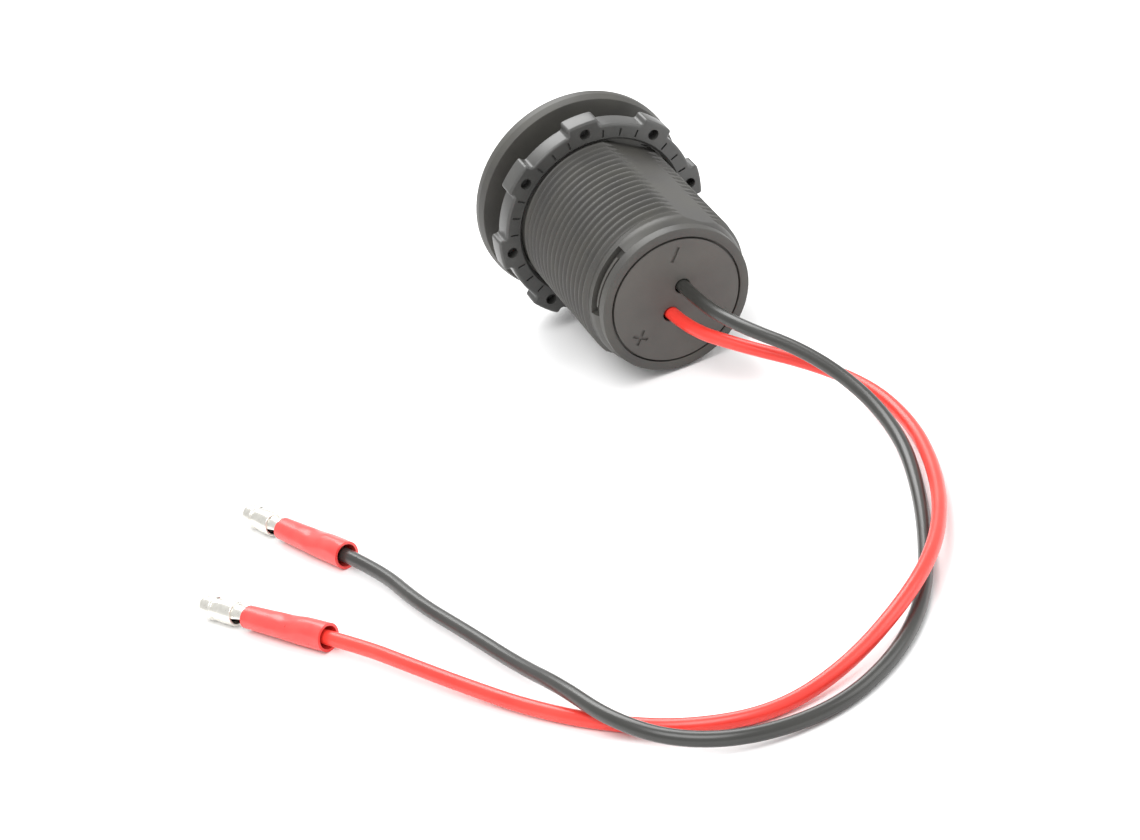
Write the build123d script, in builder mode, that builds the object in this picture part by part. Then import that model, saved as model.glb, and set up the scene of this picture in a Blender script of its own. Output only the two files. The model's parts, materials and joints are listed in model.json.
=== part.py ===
from build123d import *
from math import atan, cos, degrees, radians, sin, tan
import os

# Barrel: sizes across it are radii built up from the thread, stations run along its axis from the rear rim
thread_diameter = 28.8  # passes a 29 mm panel hole
thread_pitch = 1.63
thread_depth = 0.75
thread_land = 0.3
thread_rear = 4.4
thread_turns = 18
flat_depth = 1.1  # the two flats that stop the socket turning in its panel
barrel_wall = 1.75
neck_length = 1.7
shoulder_length = 1.6
cap_ledge = 0.65
rim_wall = 0.5
slot_length = 12.2
slot_width = 1.7

crest_radius = thread_diameter / 2
root_radius = crest_radius - thread_depth
bore_radius = root_radius - barrel_wall
cap_bore_radius = bore_radius + cap_ledge
rim_radius = cap_bore_radius + rim_wall
flat_reach = crest_radius - flat_depth
thread_front = thread_rear + thread_turns * thread_pitch + thread_land

# Bezel and the face plate set into it
bezel_overhang = 4.35
bezel_back_chamfer = 0.4
bezel_edge = 1.3
bezel_height = 3.6
bezel_round = 1.4
bezel_gap = 4.36  # plain barrel between the thread and the bezel
face_recess_radius = 15.5
face_recess_depth = 1.9
face_plate_thickness = 1.4
face_clearance = 0.15

bezel_radius = crest_radius + bezel_overhang
bezel_back = thread_front + bezel_gap
socket_front = bezel_back + bezel_height
face_seat = socket_front - face_recess_depth
face_front = face_seat + face_plate_thickness

# Ring nut with eight lugs, a blind hole in each lug and three ticks between holes
nut_clearance = 0.25
nut_wall = 2.95
nut_thickness = 3.5
nut_back = 30.0
nut_turn = -1.5
nut_chamfer = 0.45
nut_edge = 0.25
lug_count = 8
lug_height = 1.3
lug_width = 5.7
lug_corner = 0.5
lug_root = 0.6
nut_hole_diameter = 1.95
nut_hole_depth = 1.8
tick_width = 0.35
tick_inset = 0.25
tick_length = 1.4
tick_depth = 0.3
tick_turn = 11.25

nut_bore_radius = crest_radius + nut_clearance
nut_ring_radius = nut_bore_radius + nut_wall
lug_radius = nut_ring_radius + lug_height
nut_hole_circle = (nut_bore_radius + lug_radius) / 2

# Rear cap, snapped into the barrel by two catches
cap_clearance = 0.1
cap_rim_depth = 0.7
cap_groove = 1.3
cap_thickness = 2.0
catch_reach = 0.7
catch_length = 9.0
catch_height = 0.7
catch_clearance = 0.2
lead_offset = 2.6
lead_hole_diameter = 2.75
guide_length = 3.0
guide_width = 4.0
guide_thickness = 1.2
guide_spacing = 14.0
guide_clearance = 0.1

cap_radius = cap_bore_radius - cap_clearance
cap_seat = cap_rim_depth + cap_thickness
slot_rear = cap_seat - slot_width + catch_height
plateau_radius = cap_radius - cap_groove

# Two stacked receptacles on a round port board
port_spacing = 8.8
port_width = 12.5
port_height = 5.12
shell_wall = 0.3
shell_length = 14.5
shell_corner = 0.6
window_clearance = 0.15
tongue_width = 11.1
tongue_thickness = 1.84
tongue_offset = 0.55
tongue_setback = 1.2
insulator_depth = 4.5
insulator_clearance = 0.1
contact_width = 1.0
contact_thickness = 0.25
contact_setback = 0.8
contact_places = (-3.5, -1.0, 1.0, 3.5)
board_thickness = 1.2
board_clearance = 0.3

shell_width = port_width + 2 * shell_wall
shell_height = port_height + 2 * shell_wall
port_board_front = face_front - shell_length
port_board_back = port_board_front - board_thickness

# Main board along the axis, with the converter's components on both faces
main_board_width = 21.0
main_board_rear = cap_seat + guide_clearance
pin_size = 0.6
pin_length = 4.0
pin_pitch = 2.54
pin_count = 6
capacitor_diameter = 6.3
capacitor_height = 6.0
capacitor_crimp = 0.35
capacitor_spacing = 10.4
capacitor_setback = 8.2
inductor_size = 7.3
inductor_height = 4.5
inductor_corner = 1.2
inductor_setback = 6.0
regulator_length = 4.9
regulator_width = 3.9
regulator_height = 1.5
diode_length = 4.3
diode_width = 2.6
diode_height = 2.1
sense_chip_length = 2.9
sense_chip_width = 1.6
sense_chip_height = 1.1
resistor_length = 2.0
resistor_width = 1.25
resistor_height = 0.5
resistor_pitch = 3.2

# Leads and their bullet terminals
lead_diameter = 2.25
lead_strip = 5.5  # where the insulation ends, inside the barrel
conductor_diameter = 1.0
conductor_length = 3.0
solder_base = 1.9
solder_top = 1.0
sleeve_diameter = 4.4
sleeve_length = 16.8
sleeve_clearance = 0.05
crimp_flat = 1.9
crimp_start = 8.5
crimp_length = 5.5
lead_depth = 5.0  # how far a lead runs into its sleeve
bullet_diameter = 3.7
bullet_length = 10.6
bullet_neck = 0.7
bullet_nose = 1.3
bullet_groove = 0.3
bullet_groove_width = 0.8
bullet_groove_place = 3.4
terminal_barrel_diameter = 3.0

lead_radius = lead_diameter / 2
sleeve_radius = sleeve_diameter / 2

# The socket lies on its side, on one lug of the nut and the rear end of the thread
lie_angle = atan((lug_radius - crest_radius) / (nut_back + nut_edge - thread_rear))
key_turn = 32.0  # how far the flats are rolled from the top
reach_back = rim_radius * sin(lie_angle)
round_station = socket_front - bezel_round
round_centre = bezel_radius - bezel_round
reach_front = round_station * cos(lie_angle) + round_centre * sin(lie_angle) + bezel_round
rear_y = (reach_back - reach_front) / 2
rear_z = crest_radius * cos(lie_angle) - thread_rear * sin(lie_angle)

spin = Axis((0, rear_y, rear_z), (0, cos(lie_angle), sin(lie_angle)))


def rolled(turn):
    """Frame at the rear rim, local Z along the axis and local Y rolled from the top by a turn."""
    across = Vector(-1, 0, 0).rotate(Axis((0, 0, 0), spin.direction), turn)
    return Plane(spin.position, x_dir=across, z_dir=spin.direction)


def profile(frame):
    """Plane for the profile of a turned form: local X outwards, local Y along the frame's axis."""
    return Plane(frame.origin, x_dir=frame.x_dir, z_dir=frame.y_dir * -1)


socket = rolled(key_turn)  # local Y points at one flat, local X at one snap slot
nut_frame = rolled(nut_turn)

# Housing: bezel, threaded barrel and neck moulded as one piece, with the thread's ridges as rings
with BuildPart() as housing:
    with BuildSketch(profile(socket)):
        with BuildLine():
            neck_top = (rim_radius, neck_length)
            band_start = (root_radius, neck_length + shoulder_length)
            Polyline((cap_bore_radius, cap_seat), (cap_bore_radius, 0), (rim_radius, 0), neck_top)
            SagittaArc(neck_top, band_start, -shoulder_length / 8)
            ridges = [band_start]
            for turn in range(thread_turns + 1):
                crest = thread_rear + turn * thread_pitch
                flank = (thread_pitch - thread_land) / 2
                if turn == 0:
                    ridges.append((root_radius, crest - flank / 2))
                ridges.append((crest_radius, crest))
                ridges.append((crest_radius, crest + thread_land))
                ridges.append((root_radius, crest + thread_land + flank))
            ridges.append((root_radius, bezel_back))
            ridges.append((bezel_radius - bezel_back_chamfer, bezel_back))
            ridges.append((bezel_radius, bezel_back + bezel_edge))
            ridges.append((bezel_radius, socket_front - bezel_round))
            Polyline(*ridges)
            front_edge = (bezel_radius - bezel_round, socket_front)
            TangentArc(ridges[-1], front_edge, tangent=(0, 1))
            Polyline(
                front_edge,
                (face_recess_radius, socket_front),
                (face_recess_radius, face_seat),
                (bore_radius, face_seat),
                (bore_radius, cap_seat),
                (cap_bore_radius, cap_seat),
            )
        make_face()
    revolve(axis=spin)
    with BuildSketch(socket):
        with Locations((0, flat_reach), (0, -flat_reach)):
            Rectangle(2 * crest_radius, 2 * flat_depth)
        Circle(flat_reach, mode=Mode.SUBTRACT)
        Rectangle(2 * crest_radius, 2 * flat_reach, mode=Mode.SUBTRACT)
    extrude(amount=bezel_back, mode=Mode.SUBTRACT)
    with BuildSketch(socket.offset(slot_rear)):
        Rectangle(2 * crest_radius, slot_length)
    extrude(amount=slot_width, mode=Mode.SUBTRACT)
housing.part.label = "housing"

# Ring nut
nut_station = nut_frame.offset(nut_back)
with BuildPart() as ring_nut:
    with BuildSketch(nut_station) as nut_outline:
        Circle(nut_ring_radius)
        with PolarLocations(0, lug_count, start_angle=90):
            Rectangle(2 * lug_radius, lug_width)
        Circle(lug_radius, mode=Mode.INTERSECT)
        fillet(nut_outline.vertices().sort_by_distance((0, 0, 0))[-2 * lug_count :], lug_corner)
        fillet(nut_outline.vertices().sort_by_distance((0, 0, 0))[: 2 * lug_count], lug_root)
    extrude(amount=nut_thickness)
    chamfer(ring_nut.faces().sort_by(spin)[0].edges(), nut_edge)
    with BuildSketch(profile(nut_frame)):
        with BuildLine():
            nut_front = nut_back + nut_thickness
            Polyline(
                (0, nut_back),
                (nut_bore_radius + nut_chamfer, nut_back),
                (nut_bore_radius, nut_back + nut_chamfer),
                (nut_bore_radius, nut_front - nut_chamfer),
                (nut_bore_radius + nut_chamfer, nut_front),
                (0, nut_front),
                close=True,
            )
        make_face()
    revolve(axis=spin, mode=Mode.SUBTRACT)
    with BuildSketch(nut_station):
        with PolarLocations(nut_hole_circle, lug_count, start_angle=90):
            Circle(nut_hole_diameter / 2)
    extrude(amount=nut_hole_depth, mode=Mode.SUBTRACT)
    with BuildSketch(nut_station):
        lug_turn = 360 / lug_count
        tick_circle = nut_bore_radius + nut_chamfer + tick_inset + tick_length / 2
        for tick in (-1, 0, 1):
            with PolarLocations(tick_circle, lug_count, start_angle=90 + lug_turn / 2 + tick * tick_turn):
                Rectangle(tick_length, tick_width)
    extrude(amount=tick_depth, mode=Mode.SUBTRACT)
ring_nut.part.label = "ring_nut"

# Rear cap: raised plateau, rim, two catches and four guides for the main board
with BuildPart() as rear_cap:
    with BuildSketch(socket):
        Circle(plateau_radius)
    extrude(amount=cap_rim_depth)
    with BuildSketch(socket.offset(cap_rim_depth)):
        Circle(cap_radius)
    extrude(amount=cap_thickness)
    with BuildSketch(socket.offset(cap_seat - catch_height)):
        Rectangle(2 * (cap_radius + catch_reach), catch_length)
        Circle(cap_radius + catch_reach, mode=Mode.INTERSECT)
    extrude(amount=catch_height - catch_clearance)
    with BuildSketch(socket.offset(cap_seat)):
        guide_place = board_thickness / 2 + guide_clearance + guide_thickness / 2
        with GridLocations(guide_spacing, 2 * guide_place, 2, 2):
            Rectangle(guide_width, guide_thickness)
    extrude(amount=guide_length)
    with BuildSketch(socket):
        with Locations((0, lead_offset), (0, -lead_offset)):
            Circle(lead_hole_diameter / 2)
    extrude(amount=cap_seat, mode=Mode.SUBTRACT)
rear_cap.part.label = "rear_cap"

# Face plate with a window for each receptacle
with BuildPart() as face_plate:
    with BuildSketch(socket.offset(face_seat)):
        Circle(face_recess_radius - face_clearance)
        with GridLocations(0, port_spacing, 1, 2):
            window_width = shell_width + 2 * window_clearance
            window_height = shell_height + 2 * window_clearance
            RectangleRounded(window_width, window_height, shell_corner, mode=Mode.SUBTRACT)
    extrude(amount=face_plate_thickness)
face_plate.part.label = "face_plate"


def port_frame(side):
    """Frame of one receptacle: side is 1 for the upper port and -1 for the lower."""
    return Plane(
        origin=socket.from_local_coords((0, side * port_spacing / 2, port_board_front)),
        x_dir=socket.x_dir,
        z_dir=socket.z_dir,
    )


# Receptacles: folded metal shell, insulator with its tongue, and four contacts on the tongue
port_shells = []
port_insulators = []
port_contacts = []
tongue_length = shell_length - insulator_depth - tongue_setback
for port_name, side in (("upper", 1), ("lower", -1)):
    port = port_frame(side)
    with BuildPart() as shell:
        with BuildSketch(port):
            RectangleRounded(shell_width, shell_height, shell_corner)
            inner_corner = shell_corner - shell_wall
            RectangleRounded(port_width, port_height, inner_corner, mode=Mode.SUBTRACT)
        extrude(amount=shell_length)
    shell.part.label = port_name + "_port_shell"
    port_shells.append(shell)

    with BuildPart() as insulator:
        with BuildSketch(port):
            block_width = port_width - 2 * insulator_clearance
            block_height = port_height - 2 * insulator_clearance
            RectangleRounded(block_width, block_height, shell_corner - shell_wall)
        extrude(amount=insulator_depth)
        with BuildSketch(port.offset(insulator_depth)):
            with Locations((0, tongue_offset)):
                Rectangle(tongue_width, tongue_thickness)
        extrude(amount=tongue_length)
    insulator.part.label = port_name + "_port_insulator"
    port_insulators.append(insulator)

    with BuildPart() as contacts:
        with BuildSketch(port.offset(insulator_depth)):
            contact_line = tongue_offset - (tongue_thickness + contact_thickness) / 2
            with Locations(*[(place, contact_line) for place in contact_places]):
                Rectangle(contact_width, contact_thickness)
        extrude(amount=tongue_length - contact_setback)
    contacts.part.label = port_name + "_port_contacts"
    port_contacts.append(contacts)

# Port board across the barrel
with BuildPart() as port_board:
    with BuildSketch(socket.offset(port_board_back)):
        Circle(bore_radius - board_clearance)
    extrude(amount=board_thickness)
port_board.part.label = "port_board"

# Main board along the axis, its front edge against the port board
main_board_length = port_board_back - main_board_rear
with BuildPart() as main_board:
    with BuildSketch(socket.offset(main_board_rear)):
        Rectangle(main_board_width, board_thickness)
    extrude(amount=main_board_length)
main_board.part.label = "main_board"

# Faces of the main board: local X across the board, local Y towards the port board
top_face = Plane(
    origin=socket.from_local_coords((0, board_thickness / 2, main_board_rear)),
    x_dir=socket.x_dir * -1,
    z_dir=socket.y_dir,
)
under_face = Plane(
    origin=socket.from_local_coords((0, -board_thickness / 2, main_board_rear)),
    x_dir=socket.x_dir,
    z_dir=socket.y_dir * -1,
)

with BuildPart() as board_pins:
    with BuildSketch(top_face):
        with Locations((0, main_board_length - pin_length / 2)):
            with GridLocations(pin_pitch, 0, pin_count, 1):
                Rectangle(pin_size, pin_length)
    extrude(amount=pin_size)
board_pins.part.label = "board_pins"


def capacitor(name, place):
    """Aluminium can with a rolled crimp near its base and a bevelled top."""
    with BuildPart() as can:
        with BuildSketch(top_face):
            with Locations((place, main_board_length - capacitor_setback)):
                Circle(capacitor_diameter / 2)
        extrude(amount=capacitor_height)
        chamfer(can.faces().sort_by(Axis(top_face.origin, top_face.z_dir))[-1].edges(), capacitor_crimp)
        with BuildSketch(top_face.offset(capacitor_diameter / 4)):
            with Locations((place, main_board_length - capacitor_setback)):
                Circle(capacitor_diameter / 2)
                Circle(capacitor_diameter / 2 - capacitor_crimp, mode=Mode.SUBTRACT)
        extrude(amount=capacitor_crimp, mode=Mode.SUBTRACT)
    can.part.label = name
    return can


input_capacitor = capacitor("input_capacitor", -capacitor_spacing / 2)
output_capacitor = capacitor("output_capacitor", capacitor_spacing / 2)

# Shielded inductor with a round core showing in its top
with BuildPart() as inductor:
    with BuildSketch(under_face):
        with Locations((0, main_board_length - inductor_setback)):
            RectangleRounded(inductor_size, inductor_size, inductor_corner)
    extrude(amount=inductor_height)
    with BuildSketch(under_face.offset(inductor_height)):
        with Locations((0, main_board_length - inductor_setback)):
            Circle(inductor_size / 2 - shell_wall)
            Circle(inductor_size / 2 - 2 * shell_wall, mode=Mode.SUBTRACT)
    extrude(amount=-tick_depth, mode=Mode.SUBTRACT)
inductor.part.label = "inductor"


def chip(name, face, place, station, length, width, height):
    """Moulded package with a drafted body."""
    with BuildPart() as package:
        with BuildSketch(face):
            with Locations((place, station)):
                Rectangle(length, width)
        extrude(amount=height, taper=5)
    package.part.label = name
    return package


chip_row = main_board_length / 2
chip_side = main_board_width / 3
regulator_chip = chip(
    "regulator_chip", under_face, chip_side, chip_row, regulator_length, regulator_width, regulator_height
)
rectifier_diode = chip(
    "rectifier_diode", under_face, -chip_side, chip_row, diode_length, diode_width, diode_height
)
sense_chip = chip(
    "sense_chip", top_face, chip_side, chip_row / 2, sense_chip_length, sense_chip_width, sense_chip_height
)

with BuildPart() as chip_resistors:
    with BuildSketch(top_face):
        with Locations((-chip_side, chip_row / 2)):
            with GridLocations(resistor_pitch, resistor_pitch, 2, 2):
                Rectangle(resistor_length, resistor_width)
    extrude(amount=resistor_height)
chip_resistors.part.label = "chip_resistors"

# Bared lead ends, and the solder that holds each one to its face of the board
with BuildPart() as lead_conductors:
    with BuildSketch(socket.offset(lead_strip)):
        with Locations((0, lead_offset), (0, -lead_offset)):
            Circle(conductor_diameter / 2)
    extrude(amount=conductor_length)
lead_conductors.part.label = "lead_conductors"

solder_height = lead_offset + conductor_diameter - board_thickness / 2
solder_station = lead_strip + conductor_length / 2 - main_board_rear
with BuildPart() as solder_joints:
    for face in (top_face, under_face):
        with BuildSketch(face):
            with Locations((0, solder_station)):
                Circle(conductor_length / 2)
        extrude(amount=solder_height, taper=degrees(atan((conductor_length / 2 - solder_top) / solder_height)))
    with BuildSketch(socket.offset(lead_strip)):
        with Locations((0, lead_offset), (0, -lead_offset)):
            Circle(conductor_diameter / 2)
    extrude(amount=conductor_length, mode=Mode.SUBTRACT)
solder_joints.part.label = "solder_joints"


def plug_frame(x, y, heading):
    """Frame at the back of a sleeve lying on the floor: local Z runs to the bullet's tip."""
    turn = radians(heading)
    return Plane(origin=(x, y, sleeve_radius), x_dir=(0, 0, 1), z_dir=(-sin(turn), cos(turn), 0))


black_plug = plug_frame(-67.5, -40.5, 19.4)
red_plug = plug_frame(-77.4, -62.0, 29.3)

# Route of each lead: out of its hole along the axis, down to the floor, round and into its sleeve
black_route = [
    socket.from_local_coords((0, lead_offset, lead_strip)),
    socket.from_local_coords((0, lead_offset, -lead_strip)),
    Vector(3.6, -38.5, 13.6),
    Vector(9.6, -48.5, 10.8),
    Vector(13.2, -59.5, 6.8),
    Vector(13.0, -72.0, 3.6),
    Vector(9.0, -84.5, 1.9),
    Vector(3.0, -98.0, 1.2),
    Vector(-4.5, -111.5, 1.2),
    Vector(-14.0, -121.5, 1.2),
    Vector(-25.5, -127.5, 1.2),
    Vector(-38.0, -127.3, 1.8),
    Vector(-47.5, -122.0, 2.8),
    Vector(-53.0, -113.5, 4.2),
    Vector(-55.2, -101.5, 4.2),
    Vector(-57.3, -89.5, 2.4),
    Vector(-60.0, -76.0, 2.2),
    Vector(-63.2, -62.5, 2.2),
    black_plug.from_local_coords((0, 0, -8.0)),
    black_plug.from_local_coords((0, 0, lead_depth)),
]
red_route = [
    socket.from_local_coords((0, -lead_offset, lead_strip)),
    socket.from_local_coords((0, -lead_offset, 1 - lead_strip)),
    Vector(4.2, -35.0, 8.6),
    Vector(12.0, -44.5, 6.0),
    Vector(16.8, -55.5, 4.0),
    Vector(16.6, -68.5, 3.0),
    Vector(13.2, -81.5, 3.0),
    Vector(8.0, -94.0, 3.4),
    Vector(0.8, -105.5, 4.2),
    Vector(-8.6, -114.5, 4.2),
    Vector(-20.5, -120.3, 2.0),
    Vector(-32.5, -123.0, 1.2),
    Vector(-43.5, -118.7, 1.2),
    Vector(-52.4, -110.0, 1.2),
    Vector(-59.6, -99.5, 1.4),
    Vector(-65.4, -88.0, 1.9),
    Vector(-69.8, -78.3, 2.2),
    red_plug.from_local_coords((0, 0, -6.5)),
    red_plug.from_local_coords((0, 0, lead_depth)),
]


def lead(name, route):
    """Insulated lead along its route, each corner rounded as widely as its two runs allow."""
    radii = []
    for before, corner, after in zip(route, route[1:], route[2:]):
        run = min((corner - before).length, (after - corner).length)
        turn = radians((corner - before).get_angle(after - corner))
        radii.append(0.45 * run / tan(turn / 2))
    with BuildPart() as wire:
        with BuildLine() as path:
            FilletPolyline(*route, radius=radii)
        with BuildSketch(Plane(route[0], z_dir=route[1] - route[0])):
            Circle(lead_radius)
        sweep()
    length = path.wires()[0].length
    section = 3.14159 * lead_radius**2
    print(name, "length", round(length, 1), "volume ratio", round(wire.part.volume / (section * length), 4))
    print(name, "radii", [round(radius) for radius in radii])
    wire.part.label = name
    return wire


black_lead = lead("black_lead", black_route)
red_lead = lead("red_lead", red_route)


def bullet_terminal(name, plug):
    """Rolled bullet with a locating groove, its crimped barrel inside the sleeve."""
    barrel = terminal_barrel_diameter / 2
    bullet = bullet_diameter / 2
    tip = sleeve_length + bullet_length
    groove = sleeve_length + bullet_groove_place
    with BuildPart() as terminal:
        with BuildSketch(profile(plug)):
            with BuildLine():
                body = Polyline(
                    (0, tip),
                    (0, lead_depth),
                    (barrel, lead_depth),
                    (barrel, sleeve_length + bullet_neck),
                    (bullet, sleeve_length + 2 * bullet_neck),
                    (bullet, groove),
                    (bullet - bullet_groove, groove + bullet_groove_width / 4),
                    (bullet - bullet_groove, groove + 3 * bullet_groove_width / 4),
                    (bullet, groove + bullet_groove_width),
                    (bullet, tip - bullet_nose),
                )
                nose = TangentArc(body @ 1, (bullet - bullet_nose, tip), tangent=(0, 1))
                Line(nose @ 1, body @ 0)
            make_face()
        revolve(axis=Axis(plug.origin, plug.z_dir))
    terminal.part.label = name
    return terminal


def terminal_sleeve(name, plug):
    """Vinyl sleeve, flattened on two sides where it was crimped."""
    inner = terminal_barrel_diameter / 2 + sleeve_clearance
    with BuildPart() as sleeve:
        with BuildSketch(plug):
            Circle(sleeve_radius)
            Circle(inner, mode=Mode.SUBTRACT)
        extrude(amount=sleeve_length)
        with BuildSketch(plug.offset(crimp_start)):
            Rectangle(2 * sleeve_radius, 2 * sleeve_radius)
            Rectangle(2 * crimp_flat, 2 * sleeve_radius, mode=Mode.SUBTRACT)
        extrude(amount=crimp_length, mode=Mode.SUBTRACT)
    sleeve.part.label = name
    return sleeve


black_lead_terminal = bullet_terminal("black_lead_terminal", black_plug)
red_lead_terminal = bullet_terminal("red_lead_terminal", red_plug)
black_lead_sleeve = terminal_sleeve("black_lead_sleeve", black_plug)
red_lead_sleeve = terminal_sleeve("red_lead_sleeve", red_plug)

os.makedirs("parts", exist_ok=True)
pieces = [housing, ring_nut, rear_cap, face_plate, port_board, main_board, board_pins]
pieces += port_shells + port_insulators + port_contacts
pieces += [input_capacitor, output_capacitor, inductor, regulator_chip, rectifier_diode, sense_chip]
pieces += [chip_resistors, lead_conductors, solder_joints, black_lead, red_lead]
pieces += [black_lead_terminal, red_lead_terminal, black_lead_sleeve, red_lead_sleeve]
for piece in pieces:
    export_step(piece.part, "parts/" + piece.part.label + ".step")
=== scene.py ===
import json
import math

import bmesh
import bpy
import numpy as np
from mathutils import Matrix, Vector


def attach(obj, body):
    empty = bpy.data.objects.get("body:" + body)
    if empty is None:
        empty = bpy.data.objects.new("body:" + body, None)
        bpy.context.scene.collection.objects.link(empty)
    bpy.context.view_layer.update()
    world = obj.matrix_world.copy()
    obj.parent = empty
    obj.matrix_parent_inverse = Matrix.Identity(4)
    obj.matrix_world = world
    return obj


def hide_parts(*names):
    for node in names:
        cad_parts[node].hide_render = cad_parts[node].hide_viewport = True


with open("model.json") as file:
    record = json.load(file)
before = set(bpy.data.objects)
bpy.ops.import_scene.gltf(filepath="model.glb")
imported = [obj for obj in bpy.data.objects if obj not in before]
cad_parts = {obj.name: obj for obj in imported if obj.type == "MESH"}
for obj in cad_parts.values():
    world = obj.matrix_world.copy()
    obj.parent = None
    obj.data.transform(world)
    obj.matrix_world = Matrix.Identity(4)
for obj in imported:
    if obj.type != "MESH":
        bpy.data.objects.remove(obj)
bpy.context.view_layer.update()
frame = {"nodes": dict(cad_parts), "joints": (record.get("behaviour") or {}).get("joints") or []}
mm = 0.001
print("frame loaded:", len(frame["nodes"]), "nodes")

# The lying socket: sizes in mm, stations along the axis from the rear rim
socket = {
    "crestR": 14.4, "rootR": 13.65, "boreR": 11.9, "capBoreR": 12.55, "rimR": 13.05,
    "lipR": 11.5, "lipSeam": 0.35, "lipDepth": 0.62, "flatReach": 13.3,
    "neck": 1.7, "shoulder": 3.3, "shoulderEnd": 3.6, "capSeat": 2.7,
    "slotRear": 1.7, "slotFront": 3.4, "slotHalf": 6.1, "slotFloor": 12.62,
    "pitch": 1.63, "threadRear": 3.9, "threadFront": 35.0, "contactStation": 4.4,
    "bezelBack": 38.4, "bezelR": 18.75, "bezelLean": 0.4, "bezelEdge": 1.3, "front": 42.0, "bezelRound": 1.4,
    "recessR": 15.5, "faceSeat": 40.1, "keyTurn": 32.0, "nutTurn": -1.5,
    "leadOffset": 2.6, "leadStrip": 5.5,
}


def lyingOrigin(axis):   # rear rim's centre: the box is centred on Y, and the thread's rear end rests on the floor
    s = socket
    backReach = s["rimR"] * axis[2]
    roundR = s["bezelRound"]
    frontReach = (s["front"] - roundR) * axis[1] + (s["bezelR"] - roundR) * axis[2] + roundR
    height = s["crestR"] * axis[1] - s["contactStation"] * axis[2]
    return np.array([0.0, (backReach - frontReach) / 2, height])


socketAxis = np.array(frame["joints"][0]["axis"], float)
socketAxis /= np.linalg.norm(socketAxis)
rimCentre = lyingOrigin(socketAxis)


def rolled(turn):   # rows are local X, Y and Z: Y is up at no turn, Z runs to the bezel
    across = np.array([-1.0, 0.0, 0.0])
    up = np.cross(socketAxis, across)
    t = math.radians(turn)
    return np.array([across * math.cos(t) + up * math.sin(t), up * math.cos(t) - across * math.sin(t), socketAxis])


def toWorld(local, axes, origin):   # local mm to metres in the shared frame
    return (np.asarray(origin) + np.asarray(local, float) @ axes) * mm


socketAxes = rolled(socket["keyTurn"])
nutAxes = rolled(socket["nutTurn"])


# Colours and materials
def hexLinear(code):   # sRGB hex to linear RGBA
    c = np.array([int(code[i:i + 2], 16) for i in (1, 3, 5)]) / 255
    linear = np.where(c <= 0.04045, c / 12.92, ((c + 0.055) / 1.055) ** 2.4)
    return (*linear.tolist(), 1.0)


def addNode(tree, kind, inputs=None, **settings):   # inputs holds values or the sockets to link from
    node = tree.nodes.new(kind)
    for key, value in settings.items():
        setattr(node, key, value)
    for key, value in (inputs or {}).items():
        if isinstance(value, bpy.types.NodeSocket):
            tree.links.new(value, node.inputs[key])
        else:
            node.inputs[key].default_value = value
    return node


def startMaterial(name):   # an empty tree with a shader, its output and Object coordinates
    material = bpy.data.materials.new(name)
    material.use_nodes = True
    tree = material.node_tree
    tree.nodes.clear()
    shader = addNode(tree, "ShaderNodeBsdfPrincipled")
    addNode(tree, "ShaderNodeOutputMaterial", {"Surface": shader.outputs["BSDF"]})
    coords = addNode(tree, "ShaderNodeTexCoord").outputs["Object"]
    return material, tree, shader, coords


def perMetre(sizeMm):   # texture scale for a feature of that size
    return 1 / (sizeMm * mm)


# One recipe for plastics: a mottled tone, a grain of a real size and a roughness that drifts with the mottle
def mouldedPlastic(name, dark, light, roughness, grainMm, grainHeight, mottleMm=6.0, spread=0.08):
    material, tree, shader, coords = startMaterial(name)
    mottle = addNode(tree, "ShaderNodeTexNoise", {"Vector": coords, "Scale": perMetre(mottleMm), "Detail": 5.0})
    tone = addNode(tree, "ShaderNodeValToRGB", {"Fac": mottle.outputs["Fac"]})
    for element, place, colour in zip(tone.color_ramp.elements, (0.3, 0.7), (dark, light)):
        element.position = place
        element.color = hexLinear(colour)
    tree.links.new(tone.outputs["Color"], shader.inputs["Base Color"])
    drift = addNode(tree, "ShaderNodeMapRange", {
        "Value": mottle.outputs["Fac"], "To Min": roughness - spread, "To Max": roughness + spread})
    tree.links.new(drift.outputs["Result"], shader.inputs["Roughness"])
    grain = addNode(tree, "ShaderNodeTexNoise", {"Vector": coords, "Scale": perMetre(grainMm), "Detail": 3.0})
    bump = addNode(tree, "ShaderNodeBump", {
        "Height": grain.outputs["Fac"], "Strength": 0.6, "Distance": grainHeight * mm})
    tree.links.new(bump.outputs["Normal"], shader.inputs["Normal"])
    shader.inputs["IOR"].default_value = 1.5
    return material


# One recipe for metals: two tones mixed by marks that may stretch along one axis
def drawnMetal(name, tint, shade, roughness, markMm, stretch, markHeight):
    material, tree, shader, coords = startMaterial(name)
    shader.inputs["Metallic"].default_value = 1.0
    squeezed = addNode(tree, "ShaderNodeMapping", {"Vector": coords, "Scale": stretch})
    marks = addNode(tree, "ShaderNodeTexNoise", {
        "Vector": squeezed.outputs["Vector"], "Scale": perMetre(markMm), "Detail": 6.0})
    tone = addNode(tree, "ShaderNodeMix", {
        "Factor": marks.outputs["Fac"], "A": hexLinear(shade), "B": hexLinear(tint)}, data_type="RGBA")
    tree.links.new(tone.outputs["Result"], shader.inputs["Base Color"])
    drift = addNode(tree, "ShaderNodeMapRange", {
        "Value": marks.outputs["Fac"], "To Min": roughness - 0.06, "To Max": roughness + 0.1})
    tree.links.new(drift.outputs["Result"], shader.inputs["Roughness"])
    bump = addNode(tree, "ShaderNodeBump", {
        "Height": marks.outputs["Fac"], "Strength": 0.4, "Distance": markHeight * mm})
    tree.links.new(bump.outputs["Normal"], shader.inputs["Normal"])
    return material


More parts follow.
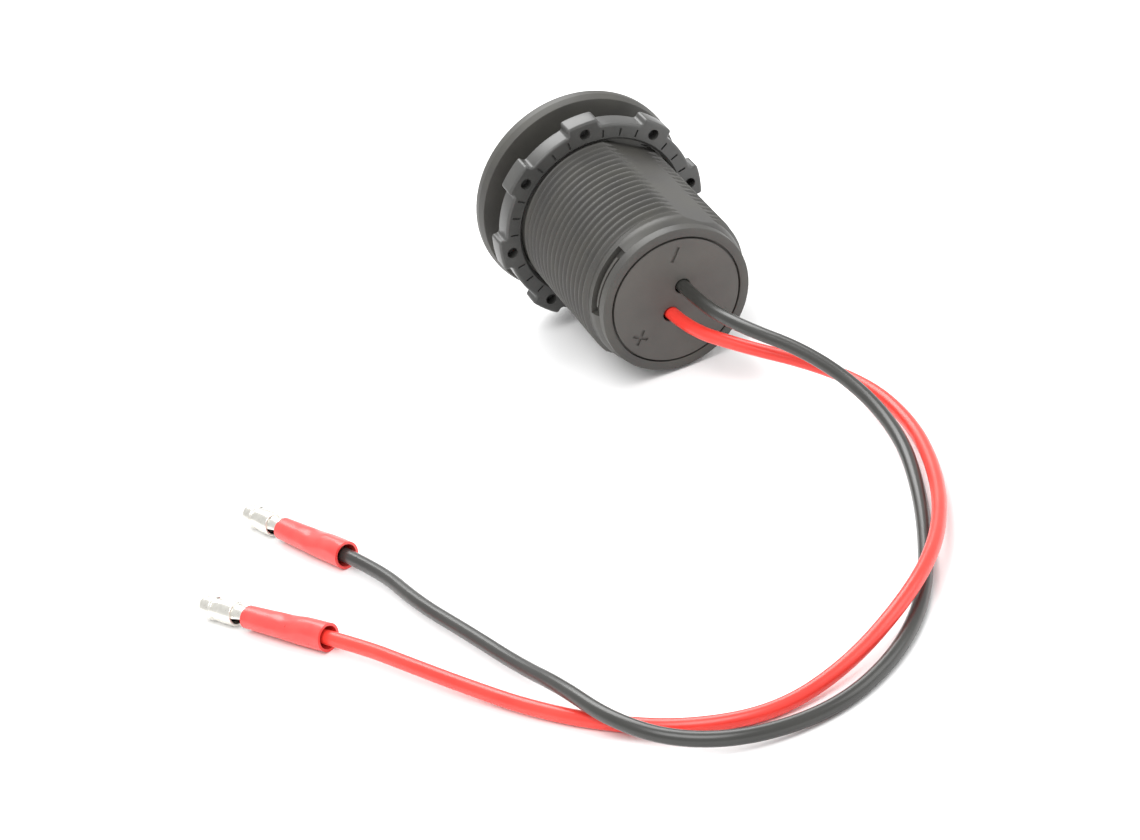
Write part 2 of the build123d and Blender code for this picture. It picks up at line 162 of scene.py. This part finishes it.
# ABS from a spark-eroded tool: a fine even grain and broad soft highlights
housingAbs = mouldedPlastic("housing_abs_spark_textured", "#3c3b39", "#45443f", 0.5, 0.22, 0.012)
capAbs = mouldedPlastic("rear_cap_abs_spark_textured", "#474542", "#4f4d49", 0.55, 0.2, 0.012)
faceAbs = mouldedPlastic("face_plate_abs_moulded", "#2f2f2e", "#383837", 0.42, 0.25, 0.01)
# Nylon from a satin tool: smoother, with a clearer edge light
nutNylon = mouldedPlastic("ring_nut_nylon_moulded_satin", "#3f3f3e", "#484846", 0.36, 0.35, 0.006)
# Extruded vinyl: a glossy skin with slow ripples along the lead
blackVinyl = mouldedPlastic("black_lead_vinyl_extruded", "#2f2f2d", "#383835", 0.3, 0.9, 0.012, 9.0, 0.05)
redVinyl = mouldedPlastic("red_lead_vinyl_extruded", "#e2372e", "#ee4238", 0.32, 0.9, 0.012, 9.0, 0.05)
# Soft moulded vinyl: glossy and a little uneven
sleeveVinyl = mouldedPlastic("terminal_sleeve_vinyl_moulded", "#dc3f3c", "#e84d48", 0.3, 0.7, 0.02, 4.0)
# Inner pieces: dull moulded black, sintered grey, matt epoxy and a green mask with a sheen
insulatorPbt = mouldedPlastic("port_insulator_pbt_moulded", "#222222", "#2a2a2a", 0.5, 0.2, 0.006)
ferrite = mouldedPlastic("inductor_ferrite_sintered", "#3c3d3f", "#4b4c4e", 0.7, 0.15, 0.02)
chipEpoxy = mouldedPlastic("chip_epoxy_transfer_moulded", "#262628", "#2f2f31", 0.6, 0.1, 0.006)
boardMask = mouldedPlastic("board_laminate_solder_masked", "#14532f", "#1b6339", 0.35, 0.4, 0.004)
# Tinned and plated metals: bright and faintly clouded, with drawing marks where they were drawn
even, alongY, alongZ = (1.0, 1.0, 1.0), (1.0, 0.15, 1.0), (1.0, 1.0, 0.2)
tinnedBrass = drawnMetal("bullet_brass_tinned_rolled", "#efede6", "#d9d6cd", 0.28, 0.6, even, 0.006)
shellSteel = drawnMetal("port_shell_steel_nickel_plated", "#d6d5d2", "#bdbcb8", 0.25, 0.3, alongY, 0.004)
goldContact = drawnMetal("contact_bronze_gold_flashed", "#e3c06a", "#cfa74d", 0.3, 0.3, (1.0, 0.2, 1.0), 0.003)
tinnedPin = drawnMetal("pin_brass_tinned", "#d9d6cc", "#c4c0b5", 0.35, 0.3, (1.0, 0.2, 1.0), 0.003)
canAluminium = drawnMetal("capacitor_aluminium_drawn", "#d3d4d6", "#bfc0c2", 0.3, 0.3, alongZ, 0.004)
copperStrand = drawnMetal("conductor_copper_tinned_strand", "#d79a6f", "#b97c52", 0.35, 0.25, alongY, 0.01)
wettedSolder = drawnMetal("solder_tin_wetted", "#cfd0d1", "#b6b7b9", 0.3, 0.8, even, 0.02)
print("materials ready")


# Mesh helpers
def gridFaces(rows, cols, closeRows=False, closeCols=False):   # quads between neighbours of a rows by cols grid
    r = np.arange(rows if closeRows else rows - 1)[:, None]
    c = np.arange(cols if closeCols else cols - 1)[None, :]
    r2 = (r + 1) % rows
    c2 = (c + 1) % cols
    return np.stack([r * cols + c, r * cols + c2, r2 * cols + c2, r2 * cols + c], -1).reshape(-1, 4)


def finishMesh(mesh, sharpAngle=35, merge=1e-7):   # joins doubles, drops empty faces, points normals outwards
    bm = bmesh.new()
    bm.from_mesh(mesh)
    bmesh.ops.remove_doubles(bm, verts=bm.verts, dist=merge)
    bmesh.ops.dissolve_degenerate(bm, edges=bm.edges, dist=merge)
    bmesh.ops.recalc_face_normals(bm, faces=bm.faces)
    bm.to_mesh(mesh)
    bm.free()
    mesh.polygons.foreach_set("use_smooth", np.ones(len(mesh.polygons), bool))
    mesh.set_sharp_from_angle(angle=math.radians(sharpAngle))
    mesh.update()


def addObject(name, data):   # an object at the origin, in the scene
    made = bpy.data.objects.new(name, data)
    bpy.context.scene.collection.objects.link(made)
    return made


def addPiece(name, mesh, material, body, replaced):   # a dressed mesh in place of CAD nodes
    piece = addObject(name, mesh)
    mesh.materials.clear()
    mesh.materials.append(material)
    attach(piece, body)
    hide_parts(*replaced)
    return piece


def gridMesh(name, grids, **finish):   # one mesh from (points, faces) pairs
    points, faces, start = [], [], 0
    for p, f in grids:
        flat = np.asarray(p).reshape(-1, 3)
        points.append(flat)
        faces.append(f + start)
        start += len(flat)
    mesh = bpy.data.meshes.new(name)
    mesh.from_pydata(np.concatenate(points).tolist(), [], np.concatenate(faces).tolist())
    finishMesh(mesh, **finish)
    return mesh


def nodeCopy(node, sharpAngle=30):   # a CAD node's points and triangles alone, merged and shaded smooth
    source = frame["nodes"][node].data
    points = np.empty(3 * len(source.vertices), np.float32)
    source.vertices.foreach_get("co", points)
    corners = np.empty(len(source.loops), np.int32)
    source.loops.foreach_get("vertex_index", corners)
    mesh = bpy.data.meshes.new(node + "_dressed")
    mesh.from_pydata(points.reshape(-1, 3).tolist(), [], corners.reshape(-1, 3).tolist())
    finishMesh(mesh, sharpAngle=sharpAngle, merge=2e-6)
    return mesh


def roundedProfile(corners, steps=4):   # corners are (x, y, fillet): each fillet is an arc of that many steps
    pts = np.array([c[:2] for c in corners], float)
    out = [pts[:1]]
    for i in range(1, len(pts) - 1):
        radius = corners[i][2] if len(corners[i]) > 2 else 0
        a, b, c = pts[i - 1], pts[i], pts[i + 1]
        if radius == 0:
            out.append(b[None])
            continue
        u, v = (a - b) / np.linalg.norm(a - b), (c - b) / np.linalg.norm(c - b)
        half = math.acos(np.clip(u @ v, -1, 1)) / 2
        reach = radius / math.tan(half)
        centre = b + (u + v) / np.linalg.norm(u + v) * radius / math.sin(half)
        p, q = b + u * reach - centre, b + v * reach - centre
        t = np.linspace(0, math.atan2(p[0] * q[1] - p[1] * q[0], p @ q), steps + 1)
        arc = np.stack([p[0] * np.cos(t) - p[1] * np.sin(t), p[0] * np.sin(t) + p[1] * np.cos(t)], -1)
        out.append(centre + arc)
    out.append(pts[-1:])
    return np.concatenate(out)


def smoothStep(x):   # 3 x squared less 2 x cubed
    return x * x * (3 - 2 * x)


def prisms(name, outlines, low, high, axes):   # each outline becomes a closed prism between two stations
    n = len(outlines[0])
    ring = np.arange(n)
    after = (ring + 1) % n
    walls = np.stack([ring, after, after + n, ring + n], -1)
    points, faces = [], []
    for i, outline in enumerate(outlines):
        points += [np.column_stack([outline, np.full(n, station)]) for station in (low, high)]
        start = 2 * n * i
        faces += (walls + start).tolist() + [(ring[::-1] + start).tolist(), (ring + n + start).tolist()]
    mesh = bpy.data.meshes.new(name)
    mesh.from_pydata(toWorld(np.concatenate(points), axes, rimCentre).tolist(), [], faces)
    return mesh


def cutAway(mesh, cutters, sharpAngle):   # the mesh less each cutter in turn
    work = [addObject("work", data) for data in [mesh] + cutters]
    for tool in work[1:]:
        cut = work[0].modifiers.new("cut", "BOOLEAN")
        cut.object = tool
        cut.solver = "EXACT"
    bpy.context.view_layer.update()
    done = bpy.data.meshes.new_from_object(work[0].evaluated_get(bpy.context.evaluated_depsgraph_get()))
    for made in work:
        bpy.data.objects.remove(made)
    finishMesh(done, sharpAngle=sharpAngle, merge=2e-6)
    return done


# Camera at the photograph's viewing angle
camera = {
    "place": (-139.67, -441.59, 219.12), "right": (0.9055, -0.3652, -0.2162), "up": (0.350, 0.3543, 0.8672),
    "lens": 94.74, "sensor": 36.0, "near": 0.01, "far": 20,
}


def addCamera():   # right and up made square to each other, and the view runs against their cross product
    data = bpy.data.cameras.new("camera")
    data.lens = camera["lens"]
    data.sensor_width = camera["sensor"]
    data.clip_start = camera["near"]
    data.clip_end = camera["far"]
    eye = addObject("camera", data)
    right, up = Vector(camera["right"]).normalized(), Vector(camera["up"])
    up = (up - right * up.dot(right)).normalized()
    turn = Matrix((right, up, right.cross(up))).transposed().to_4x4()
    eye.matrix_world = Matrix.Translation(Vector(camera["place"]) * mm) @ turn
    bpy.context.scene.camera = eye


addCamera()
print("camera placed")

# Leads: control points in mm, from the hole in the cap to the inside of the sleeve
lead = {
    "diameter": 2.25, "plugHeight": 2.2, "depth": 5.0,
    "blackPlug": (-67.5, -40.5, 19.4), "redPlug": (-77.4, -62.0, 29.3),   # x, y and heading in degrees
    "blackExit": 5.5, "redExit": 4.5, "blackApproach": 8.0, "redApproach": 6.5,
    "blackLength": 0.2422, "redLength": 0.2208,
    "black": [
        (3.6, -38.5, 13.6), (9.6, -48.5, 10.8), (13.2, -59.5, 6.8), (13.0, -72.0, 3.6), (9.0, -84.5, 1.9),
        (3.0, -98.0, 1.2), (-4.5, -111.5, 1.2), (-14.0, -121.5, 1.2), (-25.5, -127.5, 1.2), (-38.0, -127.3, 1.8),
        (-47.5, -122.0, 2.8), (-53.0, -113.5, 4.2), (-55.2, -101.5, 4.2), (-57.3, -89.5, 2.4), (-60.0, -76.0, 2.2),
        (-63.2, -62.5, 2.2),
    ],
    "red": [
        (4.2, -35.0, 8.6), (12.0, -44.5, 6.0), (16.8, -55.5, 4.0), (16.6, -68.5, 3.0), (13.2, -81.5, 3.0),
        (8.0, -94.0, 3.4), (0.8, -105.5, 4.2), (-8.6, -114.5, 4.2), (-20.5, -120.3, 2.0), (-32.5, -123.0, 1.2),
        (-43.5, -118.7, 1.2), (-52.4, -110.0, 1.2), (-59.6, -99.5, 1.4), (-65.4, -88.0, 1.9), (-69.8, -78.3, 2.2),
    ],
}


def plugFrame(x, y, heading):   # rows are local X (up), Y (across) and Z (to the bullet's tip), and the origin in mm
    t = math.radians(heading)
    along = np.array([-math.sin(t), math.cos(t), 0.0])
    up = np.array([0.0, 0.0, 1.0])
    return np.array([up, np.cross(along, up), along]), np.array([x, y, lead["plugHeight"]])


blackAxes, blackOrigin = plugFrame(*lead["blackPlug"])
redAxes, redOrigin = plugFrame(*lead["redPlug"])


def addLead(colour, side, axes, origin, material):   # a round section carried along the route's curve
    offset = side * socket["leadOffset"]
    inside, outside = [0, offset, socket["leadStrip"]], [0, offset, -lead[colour + "Exit"]]
    start = toWorld([inside, outside], socketAxes, rimCentre)
    end = toWorld([[0, 0, -lead[colour + "Approach"]], [0, 0, lead["depth"]]], axes, origin)
    route = np.concatenate([start, np.array(lead[colour]) * mm, end])
    curve = bpy.data.curves.new(colour + "_lead_vinyl", "CURVE")
    curve.dimensions = "3D"
    spline = curve.splines.new("NURBS")
    spline.points.add(len(route) - 1)
    spline.points.foreach_set("co", np.hstack([route, np.ones((len(route), 1))]).ravel())
    spline.order_u = 3
    spline.use_endpoint_u = True
    spline.resolution_u = 12
    curve.bevel_depth = lead["diameter"] / 2 * mm
    curve.bevel_resolution = 6
    curve.use_fill_caps = True
    curve.materials.append(material)
    piece = addObject(colour + "_lead_vinyl", curve)
    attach(piece, "socket")
    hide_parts(colour + "_lead")
    return piece


blackLead = addLead("black", 1, blackAxes, blackOrigin, blackVinyl)
redLead = addLead("red", -1, redAxes, redOrigin, redVinyl)
print("leads laid")

# Terminal sleeves: a tube whose section goes from round to flattened where it was crimped
sleeve = {
    "length": 16.8, "wall": 0.42, "rearR": 2.2, "rows": 60, "cols": 48,
    "stations": [0.0, 0.6, 5.2, 7.2, 8.6, 10.5, 12.6, 14.5, 16.8],
    "tall": [2.2, 2.2, 2.15, 1.8, 1.62, 1.75, 1.68, 1.7, 1.72],   # half heights at the stations
    "wide": [2.2, 2.2, 2.2, 2.3, 2.3, 2.15, 2.1, 2.0, 1.9],   # half widths at the stations
    "ripple": 0.05, "ripples": 7, "rippleTurn": 1.3, "ripplePlace": 3.0, "rippleReach": 2.2,
}


def sleeveMesh(name, axes, origin):   # ellipses along the sleeve: outer skin out, inner skin back, as closed rings
    p = sleeve
    s = np.linspace(0, p["length"], p["rows"])
    phi = np.linspace(0, 2 * math.pi, p["cols"], endpoint=False)
    kernel = np.ones(5) / 5   # a running mean that rounds off the stations
    halves = (np.interp(s, p["stations"], p[key]) for key in ("tall", "wide"))
    tall, wide = (np.convolve(np.pad(v, 2, mode="edge"), kernel, "valid") for v in halves)
    fade = np.exp(-((s - p["ripplePlace"]) / p["rippleReach"]) ** 2)[:, None]
    scale = 1 + p["ripple"] * np.sin(p["ripples"] * phi + p["rippleTurn"])[None, :] * fade / p["rearR"]

    def skin(inset):
        x = (tall - inset)[:, None] * np.cos(phi)
        y = (wide - inset)[:, None] * np.sin(phi)
        return np.stack([x * scale, y * scale, np.broadcast_to(s[:, None], x.shape)], -1)

    loop = np.concatenate([skin(0.0), skin(p["wall"])[::-1]])
    faces = gridFaces(len(loop), p["cols"], True, True)
    return gridMesh(name, [(toWorld(loop, axes, origin), faces)], sharpAngle=50)


# Bullets: rolled sheet, closed at the nose and open at the back, with a bridge into the sleeve
bullet = {
    "length": 10.6, "radius": 1.85, "wall": 0.3, "bridge": 2.4, "cols": 56,
    "barrel": [   # station from the open back, depth below the radius, fillet
        (0, 0, 0.12), (2.6, 0, 0.2), (2.75, 0.1, 0.1), (3.9, 0.1, 0.1), (4.1, 0.28, 0.15), (4.5, 0.28, 0.15),
        (4.7, 0.02, 0.15)],
    "nose": [(1.6, 1.75, 1.2), (0.15, 0.95, 0.5)],   # station back from the tip, radius, fillet
    "hollow": [(1.2, 1.0), (2.2, 1.55)],   # station back from the tip, inner radius
    "troughIn": 3.0, "troughLap": 0.8, "troughHalf": (1.35, 1.5), "troughR": (1.32, 1.57), "troughWall": 0.28,
}


def bulletMesh(name, axes, origin):   # a profile turned about the axis, outside to the nose and inside back again
    b = bullet
    base = sleeve["length"]
    back, tip = base + b["bridge"], base + b["length"]
    r, w = b["radius"], b["wall"]
    barrel = [(back + station, r - depth, fillet) for station, depth, fillet in b["barrel"]]
    nose = [(tip - station, radius, fillet) for station, radius, fillet in b["nose"]]
    outside = roundedProfile([(back, r - w)] + barrel + nose + [(tip, 0.0)])
    hollow = [(tip - station, radius) for station, radius in b["hollow"]]
    profile = np.concatenate([outside, np.array([(tip - w, 0.0)] + hollow + [(back, r - w)])])
    phi = np.linspace(0, 2 * math.pi, b["cols"], endpoint=False)
    z, rad = profile[:, :1], profile[:, 1:]
    shell = np.stack([rad * np.cos(phi), rad * np.sin(phi), np.broadcast_to(z, (len(z), len(phi)))], -1)
    # bridge: a trough that narrows from the bullet into the sleeve, with its own thickness
    s = np.linspace(base - b["troughIn"], back + b["troughLap"], 14)[:, None]
    half = np.interp(s, [base, back], b["troughHalf"])
    edge = np.linspace(-half, half, 18, axis=-1)[:, 0, :]
    radius = np.interp(s, [base, back], b["troughR"])

    def trough(inset):
        q = radius - inset
        return np.stack([q * np.cos(edge), q * np.sin(edge), np.broadcast_to(s, edge.shape)], -1)

    strip = np.concatenate([trough(0.0), trough(b["troughWall"])[:, ::-1]], axis=1)
    rows, cols = strip.shape[:2]
    ends = np.array([[i, cols - 1 - i, cols - 2 - i, i + 1] for i in range(cols // 2 - 1)])
    faces = np.concatenate([gridFaces(rows, cols, False, True), ends, ends + (rows - 1) * cols])
    shellFaces = gridFaces(len(profile), b["cols"], True, True)
    return gridMesh(name, [(toWorld(shell, axes, origin), shellFaces), (toWorld(strip, axes, origin), faces)])


for colour, side, piece, axes, origin in (
        ("black", 1, blackLead, blackAxes, blackOrigin), ("red", -1, redLead, redAxes, redOrigin)):
    tube = addPiece(colour + "_lead_sleeve_vinyl", sleeveMesh(colour + "_sleeve", axes, origin), sleeveVinyl,
                    "socket", [colour + "_lead_sleeve"])
    metal = addPiece(colour + "_lead_bullet", bulletMesh(colour + "_bullet", axes, origin), tinnedBrass,
                     "socket", [colour + "_lead_terminal"])
print("terminals made")

# Housing: a turned grid whose radius also depends on the angle, for the helix, the flats and the snap slots
thread = {"samples": 12, "crestHalf": 0.06, "rootHalf": 0.12, "runOut": 0.9}


def housingAngles():   # even steps, closer together where the flats cut the thread and at the slots' ends
    half = math.degrees(math.asin(socket["slotHalf"] / socket["rootR"]))
    parts = [np.arange(0, 360, 2.25)]
    for side in (-1, 1):
        parts += [centre + side * np.arange(10.5, 25, 0.6) for centre in (90, 270)]
        parts += [centre + side * np.array([half - 0.15, half + 0.15]) for centre in (0, 180)]
    degrees = np.unique(np.round(np.concatenate(parts) % 360, 4))
    return np.radians(np.append(degrees, 360.0))


def cutBack(radius, theta, z):   # the radius held inside the two flats, and down to the slots' floor
    s = socket
    flat = s["flatReach"] / np.maximum(np.abs(np.sin(theta)), 1e-3)
    radius = np.minimum(radius, np.where(z < s["bezelBack"] - 1e-6, flat, np.inf))
    inSlot = (z > s["slotRear"]) & (z < s["slotFront"]) & (np.abs(np.sin(theta)) * s["rootR"] < s["slotHalf"])
    return np.where(inSlot & (radius > s["slotFloor"]), s["slotFloor"], radius)


def turnedGrid(stations, radii, theta):   # radii is rows by angles, and stations spread over it
    local = np.stack([radii * np.cos(theta), radii * np.sin(theta), np.broadcast_to(stations, radii.shape)], -1)
    return toWorld(local, socketAxes, rimCentre), gridFaces(*radii.shape)


def ridge(phase):   # thread height over one pitch: a narrow crest, nearly straight flanks and a root
    t = thread
    away = np.abs((phase + 0.5) % 1 - 0.5)
    x = np.clip((0.5 - t["rootHalf"] - away) / (0.5 - t["rootHalf"] - t["crestHalf"]), 0, 1)
    return 0.65 * x + 0.35 * smoothStep(x)


def rearRows():   # lip, rim, neck and shoulder, with a pair of rows at each edge of the slots
    s = socket
    tiny = 0.004
    bulge = np.linspace(0, 1, 7)
    shoulder = np.stack([s["neck"] + (s["shoulder"] - s["neck"]) * bulge,
                         s["rimR"] + (s["rootR"] - s["rimR"]) * np.sin(bulge * math.pi / 2)], -1)
    rim = roundedProfile([(s["lipSeam"], s["lipR"]), (0, s["lipR"], 0.12), (0, s["rimR"], 0.14),
                          (s["neck"] - 0.1, s["rimR"])], 3)
    rear = np.concatenate([rim, shoulder, [(s["shoulderEnd"], s["rootR"]), (s["threadRear"], s["rootR"])]])
    cuts = np.array([s["slotRear"] - tiny, s["slotRear"] + tiny, s["slotFront"] - tiny, s["slotFront"] + tiny])
    lip = int(np.argmax(rear[:, 1] >= s["rimR"] - 1e-6))
    stations = np.unique(np.concatenate([rear[lip:, 0], cuts]))
    radii = np.interp(stations, rear[lip:, 0], rear[lip:, 1])
    return np.concatenate([rear[:lip], np.stack([stations, radii], -1)])


def housingMesh():   # three turned grids, merged where they meet
    s = socket
    theta = housingAngles()
    rear = rearRows()
    rearRadii = cutBack(np.broadcast_to(rear[:, 1:], (len(rear), len(theta))), theta, rear[:, :1])
    grids = [turnedGrid(rear[:, :1], rearRadii, theta)]

    # thread: rows follow the helix, held between its two ends
    n = thread["samples"]
    turns = (s["threadFront"] - s["threadRear"]) / s["pitch"]
    k = np.arange(-n, math.ceil(turns * n) + 1)[:, None] / n
    z = np.clip(s["threadRear"] + s["pitch"] * (k + theta / (2 * math.pi)), s["threadRear"], s["threadFront"])
    fade = np.clip(np.minimum(z - s["threadRear"], s["threadFront"] - z) / thread["runOut"], 0, 1)
    height = (s["crestR"] - s["rootR"]) * ridge(k) * smoothStep(fade)
    grids.append(turnedGrid(z, cutBack(s["rootR"] + height, theta, z), theta))

    # plain barrel, then bezel, recess and bore, which the flats don't reach
    b = s["bezelR"]
    front = roundedProfile([
        (s["threadFront"], s["rootR"]), (s["bezelBack"], s["rootR"], 0.2),
        (s["bezelBack"], b - s["bezelLean"], 0.15), (s["bezelBack"] + s["bezelEdge"], b, 0.5),
        (s["front"], b, s["bezelRound"]), (s["front"], s["recessR"], 0.2), (s["faceSeat"], s["recessR"]),
        (s["faceSeat"], s["boreR"]), (s["capSeat"], s["boreR"]), (s["capSeat"], s["capBoreR"]),
        (s["lipDepth"], s["capBoreR"]), (s["lipDepth"], s["lipR"]), (s["lipSeam"], s["lipR"])], 6)
    inward = int(np.argmax(front[:, 1] > s["rootR"] + 0.1))
    onBarrel = np.arange(len(front))[:, None] < inward
    frontRadii = np.where(onBarrel, cutBack(front[:, 1:], theta, front[:, :1]), front[:, 1:])
    grids.append(turnedGrid(front[:, :1], frontRadii, theta))
    return gridMesh("housing_dressed", grids, sharpAngle=40, merge=2e-6)


housing = addPiece("housing_threaded", housingMesh(), housingAbs, "socket", ["housing"])
print("housing turned:", len(housing.data.polygons), "faces")

# Ring nut: a lugged outline carried round the section, then a hole in each lug and three ticks between lugs
nut = {
    "back": 30.0, "front": 33.5, "lugs": 8, "firstLug": 90.0, "boreR": 14.65, "boreChamfer": 0.45, "ringR": 17.6,
    "lugR": 18.9, "lugHalf": 2.85, "rootFillet": 0.6, "cornerFillet": 0.5, "backRound": 0.42, "frontRound": 0.25,
    "holeR": 0.975, "holeSides": 28, "holeDepth": 1.8, "tickIn": 15.35, "tickOut": 16.75, "tickHalf": 0.17,
    "tickDepth": 0.3, "tickTurn": 11.25, "cutterStart": 29.0,
}


def turnedPlane(points, degrees):   # plane points turned about the axis
    t = math.radians(degrees)
    x, y = np.asarray(points, float).T
    return np.stack([x * math.cos(t) - y * math.sin(t), x * math.sin(t) + y * math.cos(t)], -1)


def onCircle(radius, degrees):   # plane points on a circle
    return [(radius * math.cos(math.radians(a)), radius * math.sin(math.radians(a))) for a in degrees]


def nutOutline():   # one lug with half a gap each side, repeated round the axis
    p = nut
    w = p["lugHalf"]
    root, top = math.sqrt(p["ringR"] ** 2 - w * w), math.sqrt(p["lugR"] ** 2 - w * w)
    arc = (11.6, 13.4, 15.6, 17.9, 20.2)   # degrees from the lug's middle, on the ring
    corners = onCircle(p["ringR"], [-22.5] + [-a for a in arc[::-1]])
    corners += [(root, -w, p["rootFillet"]), (top, -w, p["cornerFillet"])]
    corners += onCircle(p["lugR"], (-5.4, -2.7, 0.0, 2.7, 5.4))
    corners += [(top, w, p["cornerFillet"]), (root, w, p["rootFillet"])] + onCircle(p["ringR"], arc)
    sector = roundedProfile(corners, 5)
    return np.concatenate([turnedPlane(sector, p["firstLug"] + k * 360 / p["lugs"]) for k in range(p["lugs"])])


def nutSolid():   # rows: bore, back face, rounded back edge, side, rounded front edge and front face
    p = nut
    outline = nutOutline()
    tangent = np.roll(outline, -1, 0) - np.roll(outline, 1, 0)
    tangent /= np.linalg.norm(tangent, axis=1)[:, None]
    outward = np.stack([tangent[:, 1], -tangent[:, 0]], -1)
    ray = outline / np.linalg.norm(outline, axis=1)[:, None]

    def row(plane, station):
        return np.column_stack([plane, np.full(len(plane), station)])

    e, f, c = p["backRound"], p["frontRound"], p["boreChamfer"]
    hold = 0.06   # keeps the flat faces flat beside a rounded edge
    quarter = np.linspace(0, math.pi / 2, 6)
    rows = [row(ray * p["boreR"], p["back"] + c), row(ray * (p["boreR"] + c), p["back"])]
    rows += [row(ray * (p["boreR"] + c + hold), p["back"]), row(outline - outward * (e + hold), p["back"])]
    rows += [row(outline - outward * e * (1 - math.sin(t)), p["back"] + e * (1 - math.cos(t))) for t in quarter]
    rows += [row(outline - outward * f * (1 - math.cos(t)), p["front"] - f * (1 - math.sin(t))) for t in quarter]
    rows += [row(outline - outward * (f + hold), p["front"]), row(ray * (p["boreR"] + c), p["front"])]
    rows.append(row(ray * p["boreR"], p["front"] - c))
    grid = np.stack(rows)
    faces = gridFaces(*grid.shape[:2], True, True)
    return gridMesh("ring_nut_dressed", [(toWorld(grid, nutAxes, rimCentre), faces)])


def nutCutters():   # round holes in the lugs and thin boxes between them
    p = nut
    step = 360 / p["lugs"]
    middle = (p["boreR"] + p["lugR"]) / 2
    hole = np.array(onCircle(p["holeR"], np.arange(p["holeSides"]) * 360 / p["holeSides"])) + (middle, 0)
    h = p["tickHalf"]
    tick = [(p["tickIn"], -h), (p["tickOut"], -h), (p["tickOut"], h), (p["tickIn"], h)]
    holes = [turnedPlane(hole, p["firstLug"] + k * step) for k in range(p["lugs"])]
    ticks = [turnedPlane(tick, p["firstLug"] + (k + 0.5) * step + j * p["tickTurn"])
             for k in range(p["lugs"]) for j in (-1, 0, 1)]
    return [prisms("lug_holes", holes, p["cutterStart"], p["back"] + p["holeDepth"], nutAxes),
            prisms("ticks", ticks, p["cutterStart"], p["back"] + p["tickDepth"], nutAxes)]


ringNut = addPiece("ring_nut_lugged", cutAway(nutSolid(), nutCutters(), 32), nutNylon,
                   "nut", ["ring_nut"])
print("ring nut cut:", len(ringNut.data.polygons), "faces")

# Rear cap: the CAD disc with its polarity signs sunk, a bar by the black lead and a cross by the red one
capMarks = {"place": 3.7, "offset": 7.7, "length": 2.8, "width": 0.55, "depth": 0.25, "cutterStart": -1.0}


def markCutters():   # a box for each bar, centred on its sign's place
    m = capMarks
    tallBar, wideBar = (m["width"], m["length"]), (m["length"], m["width"])
    cutters = []
    for side, bars in ((1, [tallBar]), (-1, [tallBar, wideBar])):
        for w, h in bars:
            corners = np.array([(-w, -h), (w, -h), (w, h), (-w, h)]) / 2 + (m["place"], side * m["offset"])
            cutters.append(prisms("mark", [corners], m["cutterStart"], m["depth"], socketAxes))
    return cutters


addPiece("rear_cap_marked", cutAway(nodeCopy("rear_cap"), markCutters(), 30), capAbs,
         "socket", ["rear_cap"])

# Face pieces: the CAD forms with their facets smoothed
for node, material, slotName in (
        ("face_plate", faceAbs, "face_plastic"), ("upper_port_shell", shellSteel, "shell_steel"),
        ("lower_port_shell", shellSteel, "shell_steel")):
    addPiece(node + "_smooth", nodeCopy(node), material, "socket", [node])

# Inner pieces: the CAD nodes as they are, with their materials
for material, nodes in (
        (insulatorPbt, ["upper_port_insulator", "lower_port_insulator"]),
        (goldContact, ["upper_port_contacts", "lower_port_contacts"]),
        (boardMask, ["port_board", "main_board"]), (tinnedPin, ["board_pins"]),
        (canAluminium, ["input_capacitor", "output_capacitor"]), (ferrite, ["inductor"]),
        (chipEpoxy, ["regulator_chip", "rectifier_diode", "sense_chip", "chip_resistors"]),
        (copperStrand, ["lead_conductors"]), (wettedSolder, ["solder_joints"])):
    for node in nodes:
        data = frame["nodes"][node].data
        data.materials.clear()
        data.materials.append(material)
print("cap, face and inner pieces dressed")

# Floor and light
stage = {"floor": "#f4f4f4", "floorHalf": 3, "world": 0.85, "aim": (0, 0, 0.015)}
lamps = [   # name, place in m, size in m, power in W
    ("key", (-0.35, -0.35, 0.75), 0.5, 5.0),
    ("top", (0.05, 0.45, 0.6), 0.5, 5.0),
    ("side", (0.6, -0.3, 0.4), 0.5, 2.0),
]


def addFloor():   # one square of matt white paper
    h = stage["floorHalf"]
    mesh = bpy.data.meshes.new("floor")
    mesh.from_pydata([(-h, -h, 0), (h, -h, 0), (h, h, 0), (-h, h, 0)], [], [(0, 1, 2, 3)])
    floor = addObject("floor", mesh)
    material, tree, shader, coords = startMaterial("floor_paper_white")
    shader.inputs["Base Color"].default_value = hexLinear(stage["floor"])
    shader.inputs["Roughness"].default_value = 0.9
    mesh.materials.append(material)


def addLight():   # an even world, white to the camera, and area lamps turned to the socket
    world = bpy.data.worlds.new("studio")
    bpy.context.scene.world = world
    world.use_nodes = True
    tree = world.node_tree
    tree.nodes.clear()
    path = addNode(tree, "ShaderNodeLightPath")
    plain = addNode(tree, "ShaderNodeBackground", {"Color": (1, 1, 1, 1), "Strength": stage["world"]})
    white = addNode(tree, "ShaderNodeBackground", {"Color": (1, 1, 1, 1), "Strength": 1.0})
    mix = addNode(tree, "ShaderNodeMixShader", {
        0: path.outputs["Is Camera Ray"], 1: plain.outputs["Background"], 2: white.outputs["Background"]})
    addNode(tree, "ShaderNodeOutputWorld", {"Surface": mix.outputs["Shader"]})
    for name, place, size, power in lamps:
        data = bpy.data.lights.new(name, "AREA")
        data.size = size
        data.energy = power
        lamp = addObject(name, data)
        lamp.location = place
        lamp.rotation_euler = (Vector(stage["aim"]) - Vector(place)).to_track_quat("-Z", "Y").to_euler()
    bpy.context.scene.view_settings.view_transform = "Standard"


addFloor()
addLight()
print("stage lit")
